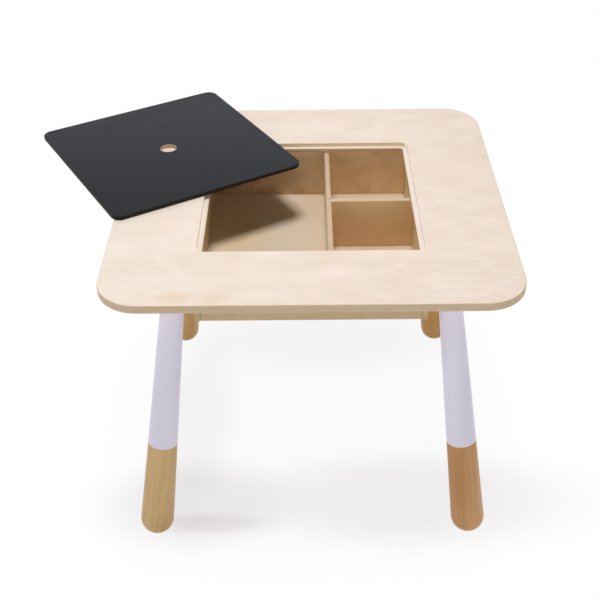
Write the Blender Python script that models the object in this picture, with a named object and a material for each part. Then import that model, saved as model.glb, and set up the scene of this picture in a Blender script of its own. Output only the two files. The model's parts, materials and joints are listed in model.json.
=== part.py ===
"""A square children's table: a box with compartments hangs under an opening that a loose lid closes.

Metres, +Z up, the front towards -Y. The lid lies on the tabletop, turned, as it is when someone has
just taken it out. The origin is on the floor, under the middle of the whole model's bounding box, and
the empty table_centre stands on the floor under the tabletop's own centre and carries every piece.
"""

import math

import bmesh
import bpy
from mathutils import Matrix, Vector

for old in list(bpy.data.objects):
    bpy.data.objects.remove(old, do_unlink=True)

# Fits and cuts
SEAT_GAP = 0.0003            # between pieces that touch, or that sit in each other
CUT_OVERRUN = 0.002          # how far a cut reaches past the face that it opens

# Tabletop
TABLE_HEIGHT = 0.440
TOP_SIDE = 0.538
TOP_THICKNESS = 0.012
TOP_CORNER = 0.056
TOP_ROUND = 0.0015

# Recess that takes the lid, and the opening inside its ledge
RECESS_SIDE = 0.300
RECESS_CORNER = 0.012
LEDGE_WIDTH = 0.007
OPENING_CORNER = 0.005
RECESS_EASE = 0.0005

# Lid, and the place where it lies on the tabletop
LID_THICKNESS = 0.006        # the recess is as deep, so the lid closes flush
LID_CLEARANCE = 0.001        # all round, when the lid is in its recess
LID_CORNER_EXTRA = 0.003     # how much rounder the lid's corners are than the recess's
LID_ROUND = 0.001
FINGER_HOLE_RADIUS = 0.0125
FINGER_HOLE_EASE = 0.0008
LID_FROM_LEFT = 0.0552       # from the tabletop's left edge to the lid's middle
LID_FROM_BACK = 0.1417
LID_TURN = math.radians(30.6)

# Box under the opening
BOX_SETBACK = 0.007          # from the opening's edge back to the walls' inner faces
BOX_HEIGHT = 0.096
WALL_THICKNESS = 0.008
WALL_ROUND = 0.0015
FLOOR_THICKNESS = 0.006
FLOOR_RISE = 0.012           # from the walls' lower edges up to the floor panel
GROOVE_SHARE = 0.5           # of the wall's thickness, for the floor panel's groove

# Dividers
DIVIDER_THICKNESS = 0.007
DIVIDER_DROP = 0.001         # from the tabletop's underside down to the dividers' tops
DIVIDER_ROUND = 0.001
HOUSING_SHARE = 0.25         # of the wall's thickness, for the slots that hold the dividers
LEFT_BAY_WIDTH = 0.1733      # between the left wall and the long divider
BACK_BAY_DEPTH = 0.145       # between the back wall and the cross divider

# Dowels of the box
DOWEL_RADIUS = 0.002
DOWEL_EASE = 0.0005
DOWEL_LONG_END = 0.010       # in a wall's edge or end
TOP_DOWEL_SPREAD_SHARE = 0.6  # of the box's inner half side, from a wall's middle to its dowels
TOP_DOWEL_SHARE = 0.75       # of the wood that the recess leaves
CORNER_DOWEL_SHARE = 0.6875  # of the side wall's thickness
CORNER_DOWEL_RISE = 0.016    # from the floor panel up to the lower dowel
CORNER_DOWEL_DROP = 0.020    # from the wall's upper edge down to the upper dowel

# Legs
LEG_FROM_BOX = 0.018         # from the box's corner out to the leg's axis, at the tabletop's underside
LEG_SPLAY = 0.0530           # how far the foot stands out from there, both sideways and front to back
FOOT_RADIUS = 0.024
FOOT_FLAT_RADIUS = 0.006
LEG_TOP_RADIUS = 0.015
LEG_EASE = 0.001
PAINT_LINE = 0.163           # along the leg, from the foot's end

# Blocks that hold the legs
BLOCK_SIDE = 0.054
BLOCK_CORNER = 0.006
BLOCK_CLEARANCE = 0.002      # from the box's outer faces
BLOCK_HEIGHT = 0.024         # at the leg's axis

# Hanger bolts and the threaded inserts that take them
BOLT_RADIUS = 0.004
BOLT_EASE = 0.0008
BOLT_IN_LEG = 0.030
BOLT_IN_BLOCK = 0.018
INSERT_RADIUS = 0.006
INSERT_LENGTH = 0.014

# Screws that hold the blocks
SCREW_RADIUS = 0.00175
SCREW_HEAD_RADIUS = 0.004
SCREW_HEAD_HEIGHT = 0.0022
SCREW_POINT = 0.003
SCREW_SINK = 0.003           # from the block's lower face up to the seat of the screw's head
SCREW_OFFSET = 0.018         # from the block's middle, sideways and front to back
SCREW_TOP_SHARE = 0.67       # of the tabletop's thickness that a screw goes into

# Smoothness of the round shapes
TOP_CORNER_STEPS = 12
RECESS_CORNER_STEPS = 5
BLOCK_CORNER_STEPS = 3
EDGE_STEPS = 2
LEG_SIDES = 40
FOOT_STEPS = 8
HOLE_SIDES = 32
BOLT_SIDES = 16
DOWEL_SIDES = 16
SHARP_ANGLE = math.radians(35)

# Half sides, seen from above
top_half = TOP_SIDE / 2
recess_half = RECESS_SIDE / 2
opening_half = recess_half - LEDGE_WIDTH
box_inner = opening_half + BOX_SETBACK
box_outer = box_inner + WALL_THICKNESS
wall_middle = box_inner + WALL_THICKNESS / 2
panel_half = box_inner + WALL_THICKNESS * GROOVE_SHARE
lid_half = recess_half - LID_CLEARANCE

# Heights above the floor
under_top = TABLE_HEIGHT - TOP_THICKNESS
ledge_height = TABLE_HEIGHT - LID_THICKNESS
wall_low = under_top - BOX_HEIGHT
wall_high = under_top - SEAT_GAP
panel_low = wall_low + FLOOR_RISE
panel_high = panel_low + FLOOR_THICKNESS
divider_low = panel_high + SEAT_GAP
divider_high = under_top - DIVIDER_DROP

# Places of the dividers, from the table's centre
housing_depth = WALL_THICKNESS * HOUSING_SHARE
long_divider_x = -box_inner + LEFT_BAY_WIDTH + DIVIDER_THICKNESS / 2
cross_divider_y = box_inner - BACK_BAY_DEPTH - DIVIDER_THICKNESS / 2
cross_left = long_divider_x + DIVIDER_THICKNESS / 2 - housing_depth
cross_right = box_inner + housing_depth

# The leg's axis in its own corner, where X and Y both point outwards
foot_height = math.sqrt(FOOT_RADIUS**2 - FOOT_FLAT_RADIUS**2)
axis_top = box_outer + LEG_FROM_BOX
axis_foot = axis_top + LEG_SPLAY
axis_rise = under_top - foot_height
leg_tilt = math.atan2(math.hypot(LEG_SPLAY, LEG_SPLAY), axis_rise)

# The block's lower face, square to that axis
face_height = under_top - BLOCK_HEIGHT
face_offset = axis_top + LEG_SPLAY * BLOCK_HEIGHT / axis_rise
face_slope = LEG_SPLAY / axis_rise
face_distance = (face_height - foot_height) / math.cos(leg_tilt)
leg_end = face_distance - SEAT_GAP
block_middle = box_outer + BLOCK_CLEARANCE + BLOCK_SIDE / 2

# Place of the lid
lid_corner = RECESS_CORNER + LID_CORNER_EXTRA
lid_x = -top_half + LID_FROM_LEFT
lid_y = top_half - LID_FROM_BACK

# Middle of the whole model, seen from above, from the table's centre
lid_reach = (lid_half - lid_corner) * (math.cos(LID_TURN) + math.sin(LID_TURN)) + lid_corner
middle_x = (min(-top_half, lid_x - lid_reach) + max(top_half, lid_x + lid_reach)) / 2
middle_y = (min(-top_half, lid_y - lid_reach) + max(top_half, lid_y + lid_reach)) / 2


def material(name, colour, roughness, metallic=0.0):
    """A Principled material from an sRGB colour of 0 to 255."""
    made = bpy.data.materials.new(name)
    made.use_nodes = True
    shader = made.node_tree.nodes["Principled BSDF"]
    linear = [((c / 255 + 0.055) / 1.055) ** 2.4 for c in colour]
    shader.inputs["Base Color"].default_value = (*linear, 1)
    shader.inputs["Roughness"].default_value = roughness
    shader.inputs["Metallic"].default_value = metallic
    made.diffuse_color = (*linear, 1)
    return made


def empty(name, place, parent=None):
    """A bare set of axes that carries other objects."""
    made = bpy.data.objects.new(name, None)
    bpy.context.scene.collection.objects.link(made)
    made.location = place
    made.parent = parent
    return made


birch_face = material("birch_face", (240, 226, 210), 0.45)
birch_box = material("birch_box", (214, 190, 160), 0.55)
chalkboard = material("chalkboard", (48, 50, 54), 0.6)
lilac_paint = material("lilac_paint", (214, 210, 224), 0.4)
bare_wood = material("bare_wood", (205, 168, 118), 0.5)
block_wood = material("block_wood", (196, 160, 116), 0.6)
dowel_wood = material("dowel_wood", (214, 184, 140), 0.6)
steel = material("steel", (170, 172, 176), 0.35, 1.0)
zinc = material("zinc", (196, 186, 150), 0.4, 1.0)

table_centre = empty("table_centre", (-middle_x, -middle_y, 0))


def finish(name, mesh, look, parent):
    """Turns a bmesh into a shaded object, or into a guide where it has no look."""
    bmesh.ops.recalc_face_normals(mesh, faces=mesh.faces)
    data = bpy.data.meshes.new(name)
    mesh.to_mesh(data)
    mesh.free()
    data.shade_smooth()
    data.set_sharp_from_angle(angle=SHARP_ANGLE)
    made = bpy.data.objects.new(name, data)
    bpy.context.scene.collection.objects.link(made)
    made.parent = parent or table_centre
    if look:
        data.materials.append(look)
    else:
        made.hide_render = True
        made.display_type = "WIRE"
    return made


def skin(mesh, rings):
    """Closes a stack of equal rings of vertices, low to high, with sides and two ends."""
    count = len(rings[0])
    mesh.faces.new(reversed(rings[0]))
    mesh.faces.new(rings[-1])
    for low, high in zip(rings, rings[1:]):
        for here in range(count):
            there = (here + 1) % count
            mesh.faces.new((low[here], low[there], high[there], high[here]))


def rounded_square(half, corner, steps):
    """Outline points, counter-clockwise, with an arc of so many steps at each corner."""
    points = []
    reach = math.hypot(half - corner, half - corner)
    for quarter in range(4):
        start = quarter * math.pi / 2
        diagonal = start + math.pi / 4
        for step in range(steps + 1):
            angle = start + step * math.pi / 2 / steps
            x = reach * math.cos(diagonal) + corner * math.cos(angle)
            y = reach * math.sin(diagonal) + corner * math.sin(angle)
            points.append((x, y))
    return points


def stacked(name, levels, steps, look=None):
    """A solid through rounded squares, given low to high as (half side, corner radius, height)."""
    mesh = bmesh.new()
    rings = []
    for half, corner, height in levels:
        outline = rounded_square(half, corner, steps)
        rings.append([mesh.verts.new((x, y, height)) for x, y in outline])
    skin(mesh, rings)
    return finish(name, mesh, look, None)


def eased_levels(half, corner, low, high, ease):
    """Levels of a board whose lower and upper edges are rounded."""
    lower = []
    for step in range(EDGE_STEPS + 1):
        angle = step * math.pi / 2 / EDGE_STEPS
        inset = ease * (1 - math.sin(angle))
        lower.append((half - inset, corner - inset, low + ease * (1 - math.cos(angle))))
    upper = [(side, radius, low + high - height) for side, radius, height in reversed(lower)]
    return lower + upper


def board(name, length, thickness, low, high, look, low_round=0, high_round=0):
    """A board on edge along X, centred, whose long lower or upper edges can be rounded."""
    corners = (
        (thickness / 2, low, low_round),
        (thickness / 2, high, high_round),
        (-thickness / 2, high, high_round),
        (-thickness / 2, low, low_round),
    )
    outline = []
    for number, (across, height, radius) in enumerate(corners):
        middle_across = across - math.copysign(radius, across)
        middle_height = height + (radius if height == low else -radius)
        steps = EDGE_STEPS if radius else 0
        for step in range(steps + 1):
            angle = (number - 1) * math.pi / 2 + step * math.pi / 2 / EDGE_STEPS
            y = middle_across + radius * math.cos(angle)
            z = middle_height + radius * math.sin(angle)
            outline.append((y, z))
    mesh = bmesh.new()
    rings = []
    for x in (-length / 2, length / 2):
        rings.append([mesh.verts.new((x, y, z)) for y, z in outline])
    skin(mesh, rings)
    return finish(name, mesh, look, None)


def cuboid(name, low, high, look=None):
    """A rectangular solid between two opposite corners."""
    size = Vector(high) - Vector(low)
    middle = (Vector(high) + Vector(low)) / 2
    mesh = bmesh.new()
    bmesh.ops.create_cube(mesh, size=1)
    bmesh.ops.scale(mesh, vec=size, verts=mesh.verts)
    bmesh.ops.translate(mesh, vec=middle, verts=mesh.verts)
    return finish(name, mesh, look, None)


def turned(name, profile, sides, look=None, parent=None):
    """A solid turned about Z from a profile of (radius, height), top to bottom, that ends on the axis."""
    mesh = bmesh.new()
    verts = [mesh.verts.new((radius, 0, height)) for radius, height in profile]
    edges = [mesh.edges.new(pair) for pair in zip(verts, verts[1:])]
    bmesh.ops.spin(mesh, geom=verts + edges, axis=(0, 0, 1), angle=2 * math.pi, steps=sides, use_merge=True)
    bmesh.ops.remove_doubles(mesh, verts=mesh.verts, dist=SEAT_GAP / 100)
    return finish(name, mesh, look, parent)


def rod(name, radius, low, high, sides, ease=0, look=None, parent=None):
    """A round rod along Z, whose ends can be eased."""
    profile = [(0, high), (radius - ease, high)]
    if ease:
        profile += [(radius, high - ease), (radius, low + ease)]
    profile += [(radius - ease, low), (0, low)]
    return turned(name, profile, sides, look, parent)


def cut(target, cutter):
    """Cuts the cutter's shape out of the target."""
    made = target.modifiers.new(cutter.name, "BOOLEAN")
    made.operation = "DIFFERENCE"
    made.solver = "EXACT"
    made.object = cutter


def build_tabletop():
    """The board, with the recess for the lid and the opening inside its ledge."""
    levels = eased_levels(top_half, TOP_CORNER, under_top, TABLE_HEIGHT, TOP_ROUND)
    made = stacked("tabletop", levels, TOP_CORNER_STEPS, birch_face)

    eased = (recess_half + RECESS_EASE, RECESS_CORNER + RECESS_EASE)
    recess = [
        (recess_half, RECESS_CORNER, ledge_height),
        (recess_half, RECESS_CORNER, TABLE_HEIGHT - RECESS_EASE),
        (*eased, TABLE_HEIGHT),
        (*eased, TABLE_HEIGHT + CUT_OVERRUN),
    ]
    cut(made, stacked("cut_recess", recess, RECESS_CORNER_STEPS))

    eased = (opening_half + RECESS_EASE, OPENING_CORNER + RECESS_EASE)
    opening = [
        (*eased, under_top - CUT_OVERRUN),
        (*eased, under_top),
        (opening_half, OPENING_CORNER, under_top + RECESS_EASE),
        (opening_half, OPENING_CORNER, ledge_height - RECESS_EASE),
        (*eased, ledge_height),
        (*eased, ledge_height + CUT_OVERRUN),
    ]
    cut(made, stacked("cut_opening", opening, RECESS_CORNER_STEPS))
    return made


def build_wall(name, length, x, y):
    """One wall of the box, with its long lower edges rounded."""
    made = board(name, length, WALL_THICKNESS, wall_low, wall_high, birch_box, low_round=WALL_ROUND)
    made.location = (x, y, 0)
    made.rotation_euler.z = math.pi / 2 if x else 0
    return made


def build_walls():
    """The side walls run the full depth, and the front and back walls stand between them."""
    between = 2 * (box_inner - SEAT_GAP)
    return {
        "left": build_wall("box_side_left", 2 * box_outer, -wall_middle, 0),
        "right": build_wall("box_side_right", 2 * box_outer, wall_middle, 0),
        "front": build_wall("box_front", between, 0, -wall_middle),
        "back": build_wall("box_back", between, 0, wall_middle),
    }


def build_box_floor(walls):
    """The bottom panel, let into a groove that stops short of the side walls' ends."""
    low = (-panel_half, -panel_half, panel_low)
    high = (panel_half, panel_half, panel_high)
    cuboid("box_floor", low, high, birch_box)
    reach = panel_half + SEAT_GAP
    low = (-reach, -reach, panel_low - SEAT_GAP)
    high = (reach, reach, panel_high + SEAT_GAP)
    groove = cuboid("cut_floor_groove", low, high)
    for wall in walls.values():
        cut(wall, groove)


def build_divider(name, length):
    """An upright board, along X, that stands on the box's floor."""
    low, high = divider_low, divider_high
    return board(name, length, DIVIDER_THICKNESS, low, high, birch_box, high_round=DIVIDER_ROUND)


def build_dividers(walls):
    """A divider from front to back, and one from it to the right wall, all ends housed in slots."""
    long_reach = box_inner + housing_depth
    long_divider = build_divider("long_divider", 2 * long_reach)
    long_divider.location.x = long_divider_x
    long_divider.rotation_euler.z = math.pi / 2
    cross_divider = build_divider("cross_divider", cross_right - cross_left)
    cross_divider.location = ((cross_left + cross_right) / 2, cross_divider_y, 0)

    slot = DIVIDER_THICKNESS / 2 + SEAT_GAP
    slot_high = under_top + CUT_OVERRUN
    low = (long_divider_x - slot, -long_reach - SEAT_GAP, divider_low)
    high = (long_divider_x + slot, long_reach + SEAT_GAP, slot_high)
    long_slot = cuboid("cut_long_housing", low, high)
    cut(walls["front"], long_slot)
    cut(walls["back"], long_slot)

    high = (cross_right + SEAT_GAP, cross_divider_y + slot, slot_high)
    low = (cross_left - SEAT_GAP, cross_divider_y - slot, divider_low)
    cut(walls["right"], cuboid("cut_cross_housing_right", low, high))
    low = (cross_left - SEAT_GAP, cross_divider_y - slot, divider_low - CUT_OVERRUN)
    cut(long_divider, cuboid("cut_cross_housing_left", low, high))


def build_dowel(name, low, high, place, turn, holders):
    """A dowel along its own Z, placed and turned, with its hole in both of the pieces that it joins."""
    dowel = rod(name, DOWEL_RADIUS, low, high, DOWEL_SIDES, DOWEL_EASE, dowel_wood)
    hole = rod(f"cut_{name}", DOWEL_RADIUS + SEAT_GAP, low - SEAT_GAP, high + SEAT_GAP, DOWEL_SIDES)
    for piece in (dowel, hole):
        piece.location = place
        piece.rotation_euler.y = turn
    for holder in holders:
        cut(holder, hole)


def build_top_dowels(tabletop, walls):
    """Two upright dowels in the top edge of each wall, glued into the tabletop's underside."""
    deep = (TOP_THICKNESS - LID_THICKNESS) * TOP_DOWEL_SHARE
    spread = box_inner * TOP_DOWEL_SPREAD_SHARE
    for along in (-spread, spread):
        number = 1 if along < 0 else 2
        places = {
            "left": (-wall_middle, along, under_top),
            "right": (wall_middle, along, under_top),
            "front": (along, -wall_middle, under_top),
            "back": (along, wall_middle, under_top),
        }
        for side, place in places.items():
            name = f"top_dowel_{side}_{number}"
            build_dowel(name, -DOWEL_LONG_END, deep, place, 0, (tabletop, walls[side]))


def build_corner_dowels(walls):
    """Two level dowels in each corner of the box, from the side wall into the other wall's end."""
    deep = WALL_THICKNESS * CORNER_DOWEL_SHARE
    heights = (panel_high + CORNER_DOWEL_RISE, wall_high - CORNER_DOWEL_DROP)
    for end, end_sign in (("front", -1), ("back", 1)):
        for side, side_sign in (("left", -1), ("right", 1)):
            for number, height in enumerate(heights, start=1):
                name = f"corner_dowel_{end}_{side}_{number}"
                place = (side_sign * box_inner, end_sign * wall_middle, height)
                turn = side_sign * math.pi / 2
                build_dowel(name, -DOWEL_LONG_END, deep, place, turn, (walls[end], walls[side]))


def leg_profile():
    """The leg's outline from its upper end down to its foot's lowest point, about the foot's centre."""
    lean = math.asin((FOOT_RADIUS - LEG_TOP_RADIUS) / leg_end)
    join_radius = FOOT_RADIUS * math.cos(lean)
    join_height = FOOT_RADIUS * math.sin(lean)
    paint_height = PAINT_LINE - FOOT_RADIUS
    taper = (join_radius - LEG_TOP_RADIUS) / (leg_end - join_height)
    profile = [
        (0, leg_end),
        (LEG_TOP_RADIUS - LEG_EASE, leg_end),
        (LEG_TOP_RADIUS, leg_end - LEG_EASE),
        (join_radius - taper * (paint_height - join_height), paint_height),
    ]
    for step in range(FOOT_STEPS):
        angle = lean - (lean + math.pi / 2) * step / FOOT_STEPS
        profile.append((FOOT_RADIUS * math.cos(angle), FOOT_RADIUS * math.sin(angle)))
    profile.append((0, -FOOT_RADIUS))
    return profile


def build_leg(name, corner, floor):
    """A turned leg whose foot is cut level at the floor, painted above the paint line."""
    made = turned(name, leg_profile(), LEG_SIDES, bare_wood, corner)
    made.data.materials.append(lilac_paint)
    for face in made.data.polygons:
        face.material_index = int(face.center.z > PAINT_LINE - FOOT_RADIUS)
    cut(made, floor)
    return made


def face_height_at(x, y):
    """Height of the block's lower face."""
    return face_height + face_slope * (x - face_offset + y - face_offset)


def build_leg_block(name, corner):
    """A block under the tabletop, whose lower face is square to the leg's axis."""
    mesh = bmesh.new()
    low, high = [], []
    for x, y in rounded_square(BLOCK_SIDE / 2, BLOCK_CORNER, BLOCK_CORNER_STEPS):
        x += block_middle
        y += block_middle
        low.append(mesh.verts.new((x, y, face_height_at(x, y))))
        high.append(mesh.verts.new((x, y, under_top - SEAT_GAP)))
    skin(mesh, [low, high])
    return finish(name, mesh, block_wood, corner)


def build_screw(name, x, y, corner, holders):
    """An upright pan-head screw, driven from below, with its sunk hole in the pieces that it joins."""
    seat = face_height_at(x, y) + SCREW_SINK
    tip = under_top + TOP_THICKNESS * SCREW_TOP_SHARE
    head = seat - SEAT_GAP
    profile = [
        (0, tip),
        (SCREW_RADIUS, tip - SCREW_POINT),
        (SCREW_RADIUS, head),
        (SCREW_HEAD_RADIUS, head),
        (SCREW_HEAD_RADIUS, head - SCREW_HEAD_HEIGHT / 2),
        (SCREW_HEAD_RADIUS / 2, head - SCREW_HEAD_HEIGHT),
        (0, head - SCREW_HEAD_HEIGHT),
    ]
    mouth = seat - SCREW_SINK - SCREW_HEAD_RADIUS
    hole_profile = [
        (0, tip + SEAT_GAP),
        (SCREW_RADIUS + SEAT_GAP, tip + SEAT_GAP),
        (SCREW_RADIUS + SEAT_GAP, seat),
        (SCREW_HEAD_RADIUS + SEAT_GAP, seat),
        (SCREW_HEAD_RADIUS + SEAT_GAP, mouth),
        (0, mouth),
    ]
    screw = turned(name, profile, DOWEL_SIDES, steel, corner)
    hole = turned(f"cut_{name}", hole_profile, DOWEL_SIDES, None, corner)
    for piece in (screw, hole):
        piece.location = (x, y, 0)
    for holder in holders:
        cut(holder, hole)


def build_joint(place, corner, axis, leg, block):
    """The hanger bolt in the leg's upper end, and the threaded insert in the block that takes it."""
    bolt_low = leg_end - BOLT_IN_LEG
    bolt_high = face_distance + BOLT_IN_BLOCK
    bolt = rod(f"bolt_{place}", BOLT_RADIUS, bolt_low, bolt_high, BOLT_SIDES, BOLT_EASE, steel, corner)

    bore = BOLT_RADIUS + SEAT_GAP
    mouth = face_distance - CUT_OVERRUN
    low, high = bolt_low - SEAT_GAP, leg_end + CUT_OVERRUN
    leg_hole = rod(f"cut_leg_{place}", bore, low, high, BOLT_SIDES, parent=corner)
    cut(leg, leg_hole)

    low, high = face_distance, face_distance + INSERT_LENGTH
    insert = rod(f"insert_{place}", INSERT_RADIUS, low, high, BOLT_SIDES, 0, zinc, corner)
    insert_high = high + SEAT_GAP
    insert_bore = rod(f"cut_insert_{place}", bore, mouth, high + CUT_OVERRUN, BOLT_SIDES, parent=corner)
    cut(insert, insert_bore)

    seat = INSERT_RADIUS + SEAT_GAP
    profile = [
        (0, bolt_high + SEAT_GAP),
        (bore, bolt_high + SEAT_GAP),
        (bore, insert_high),
        (seat, insert_high),
        (seat, mouth),
        (0, mouth),
    ]
    block_hole = turned(f"cut_block_{place}", profile, BOLT_SIDES, None, corner)
    cut(block, block_hole)
    for piece in (leg, bolt, leg_hole, insert, insert_bore, block_hole):
        piece.matrix_local = axis


def build_corner(place, quarter, tabletop, floor):
    """One leg with its block, screws, bolt and insert, built at +X +Y and turned to its corner."""
    corner = empty(f"corner_{place}", (0, 0, 0), table_centre)
    corner.rotation_euler.z = quarter * math.pi / 2
    lean = Matrix.Rotation(math.pi / 4, 4, "Z") @ Matrix.Rotation(-leg_tilt, 4, "Y")
    axis = Matrix.Translation((axis_foot, axis_foot, foot_height)) @ lean

    leg = build_leg(f"leg_{place}", corner, floor)
    leg_block = build_leg_block(f"block_{place}", corner)
    build_joint(place, corner, axis, leg, leg_block)
    for number, side in enumerate((1, -1), start=1):
        x = block_middle + side * SCREW_OFFSET
        y = block_middle - side * SCREW_OFFSET
        build_screw(f"block_screw_{place}_{number}", x, y, corner, (leg_block, tabletop))


def build_legs(tabletop):
    """Four corners alike, each a quarter turn from the last."""
    reach = axis_foot + 2 * FOOT_RADIUS
    floor = cuboid("cut_floor", (-reach, -reach, -FOOT_RADIUS), (reach, reach, 0))
    for quarter, place in enumerate(("back_right", "back_left", "front_left", "front_right")):
        build_corner(place, quarter, tabletop, floor)


def build_lid():
    """The chalkboard lid, with its origin on the upright axis along which it lifts off."""
    levels = eased_levels(lid_half, lid_corner, 0, LID_THICKNESS, LID_ROUND)
    lid = stacked("lid", levels, TOP_CORNER_STEPS, chalkboard)
    eased = FINGER_HOLE_RADIUS + FINGER_HOLE_EASE
    profile = [
        (0, LID_THICKNESS + CUT_OVERRUN),
        (eased, LID_THICKNESS + CUT_OVERRUN),
        (eased, LID_THICKNESS),
        (FINGER_HOLE_RADIUS, LID_THICKNESS - FINGER_HOLE_EASE),
        (FINGER_HOLE_RADIUS, FINGER_HOLE_EASE),
        (eased, 0),
        (eased, -CUT_OVERRUN),
        (0, -CUT_OVERRUN),
    ]
    hole = turned("cut_finger_hole", profile, HOLE_SIDES)
    for piece in (lid, hole):
        piece.location = (lid_x, lid_y, TABLE_HEIGHT + SEAT_GAP)
        piece.rotation_euler.z = LID_TURN
    cut(lid, hole)


tabletop = build_tabletop()
walls = build_walls()
build_box_floor(walls)
build_dividers(walls)
build_top_dowels(tabletop, walls)
build_corner_dowels(walls)
build_legs(tabletop)
build_lid()
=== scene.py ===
import json
import math

import bmesh
import bpy
from mathutils import Matrix, Vector


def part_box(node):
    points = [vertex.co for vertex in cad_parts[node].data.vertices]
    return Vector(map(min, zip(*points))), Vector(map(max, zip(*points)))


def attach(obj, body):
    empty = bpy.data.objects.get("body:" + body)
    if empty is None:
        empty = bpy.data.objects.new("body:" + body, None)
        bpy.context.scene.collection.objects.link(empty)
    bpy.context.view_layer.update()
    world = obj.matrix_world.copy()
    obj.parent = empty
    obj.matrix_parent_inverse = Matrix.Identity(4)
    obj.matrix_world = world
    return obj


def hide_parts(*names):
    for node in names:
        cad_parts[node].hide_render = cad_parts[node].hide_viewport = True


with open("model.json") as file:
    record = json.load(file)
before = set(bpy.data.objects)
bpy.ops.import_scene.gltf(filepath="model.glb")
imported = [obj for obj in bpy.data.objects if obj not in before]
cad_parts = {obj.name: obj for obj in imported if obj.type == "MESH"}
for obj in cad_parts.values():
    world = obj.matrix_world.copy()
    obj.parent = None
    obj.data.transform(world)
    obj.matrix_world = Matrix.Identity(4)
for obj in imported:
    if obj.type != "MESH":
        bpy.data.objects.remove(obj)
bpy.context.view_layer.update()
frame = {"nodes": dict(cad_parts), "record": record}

# Metres, +Z up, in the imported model's frame. Every piece is built in its own place and left there, and a
# board's material works in that board's own axes: X along the grain, Y through a plank's thickness.

# Camera, fitted to the photograph
IMAGE_SIDE = 600             # pixels
FOCAL_PIXELS = 1022.5
CAMERA_PLACE = (-0.0076, -1.2635, 1.1737)  # from the floor under the tabletop's centre
CAMERA_PITCH = 0.6307        # downwards, in radians
CAMERA_YAW = 0.0066
CAMERA_ROLL = -0.0120

# Light
LAMP_DIRECTION = (-0.038, -0.026, 1)
LAMP_DISTANCE = 1.7
LAMP_SIDE = 0.42
LAMP_POWER = 20.3            # watts
SKY_LEVEL = 2.6              # strength of the sky's light at the horizon
SKY_FALL = 3.0               # as a power: how it falls from there, both up and down
SKY_TILT = 0.15              # how much stronger it is on the left

# Floor
FLOOR_SIDE = 12
FLOOR_SHADOW_SHARE = 0.065   # how much of the seen floor is lit by the scene, and not plain
SHADOW_REACH = 0.20          # from the table's middle to where that share starts to fade
SHADOW_END = 0.37
PAINTED_SHADOW_CORE = 0.3             # of its reach, to where a painted shadow starts to fade
FLOOR_PAINTED_SHADOWS = (             # soft painted shadows on the floor: x and y from the table's middle, their reaches, share
    (0.02, 0.24, 0.33, 0.15, 0.12),
    (0.16, -0.175, 0.34, 0.125, 0.21),
    (-0.18, -0.18, 0.19, 0.115, 0.24),
    (-0.155, -0.222, 0.12, 0.028, 0.2),
    (-0.19, 0.00, 0.08, 0.30, 0.12),
)

# Tabletop
TOP_CORNER = 0.056
TOP_ROUND = 0.0015
RECESS_SIDE = 0.300
RECESS_CORNER = 0.012
RECESS_DEPTH = 0.006
RECESS_EASE = 0.0005
PAINTED_SHADE_RIM_WIDTH = 0.0038           # of the painted shade line on the ledge, along the recess's right side wall
OPENING_SIDE = 0.286
OPENING_CORNER = 0.005
PLY = 0.00133                # thickness of one ply

# Lid
LID_SIDE = 0.298
LID_CORNER = 0.015
LID_TURN = math.radians(30.6)
LID_ROUND = 0.001
FINGER_HOLE_RADIUS = 0.0125
FINGER_HOLE_EASE = 0.0008

# Box
BOX_HALF = 0.150             # to the walls' inner faces
SEAT_GAP = 0.0003
WALL_EASE = 0.0015
DIVIDER_EASE = 0.001
SMALL_EASE = 0.0004
END_EASE = 0.0003

# Legs
FOOT_RADIUS = 0.024
FOOT_FLAT_RADIUS = 0.006
LEG_TOP_RADIUS = 0.015
LEG_SPLAY = 0.0530
LEG_EASE = 0.001
BLOCK_HEIGHT = 0.024
PAINT_LINE = 0.163
PAINT_THICKNESS = 0.00012
LEG_TURNS = {"back_right": 0, "back_left": 1, "front_left": 2, "front_right": 3}

# Blocks and screws
BLOCK_CORNER = 0.006
BLOCK_EASE = 0.0008
SCREW_RADIUS = 0.00175
SCREW_HEAD_RADIUS = 0.004
SCREW_HEAD_HEIGHT = 0.0022
CROSS_DEPTH = 0.0014
CROSS_WIDTH = 0.0009
CROSS_REACH = 0.0022

# Smoothness
CORNER_STEPS = 20
EASE_STEPS = 4
END_STEPS = 2
LEG_SIDES = 96
FOOT_STEPS = 18
SCREW_SIDES = 32
SHARP_ANGLE = math.radians(32)
MERGE_DISTANCE = SEAT_GAP / 100

# Which faces a material takes, by how far their normals point along an axis
SQUARE_ON = 0.9
LID_EDGE_LEAN = 0.5
HOLE_WALL_LEAN = 0.3

QUARTER = math.pi / 2
UNMOVED = Matrix.Identity(4)
X, Y, Z = Vector((1, 0, 0)), Vector((0, 1, 0)), Vector((0, 0, 1))


def srgb(red, green, blue):
    """A linear colour from one given as 0 to 255."""
    return tuple(((part / 255 + 0.055) / 1.055) ** 2.4 for part in (red, green, blue)) + (1.0,)


# Tones, each pair a light one and a dark one
BIRCH = (srgb(255, 243, 230), srgb(237, 214, 195))
YELLOW_BIRCH = srgb(222, 198, 150)
SMUDGE = srgb(222, 172, 100)
PLIES = (srgb(232, 210, 179), srgb(190, 160, 125))
GLUE = srgb(120, 90, 64)
LEDGE = (srgb(251, 239, 227), srgb(238, 221, 205))
# painted shade in the corner where the ledge meets the recess's right side wall
LEDGE_PAINTED_SHADE = srgb(227, 215, 211)
# lighter ply tones for the recess's left and right side walls: painted light
RECESS_PAINTED_LIGHT = (srgb(246, 234, 223), srgb(224, 209, 196))
# darker ply tones for the opening's edges under the ledge: painted shade
OPENING_PAINTED_SHADE = (srgb(206, 176, 140), srgb(164, 128, 94))
BOX_BIRCH = (srgb(242, 210, 168), srgb(219, 181, 133))
# the back wall's dark tone reaches deep enough to paint shade on its left part, under the lid
BACK = (srgb(241, 209, 167), srgb(170, 134, 92))
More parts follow.
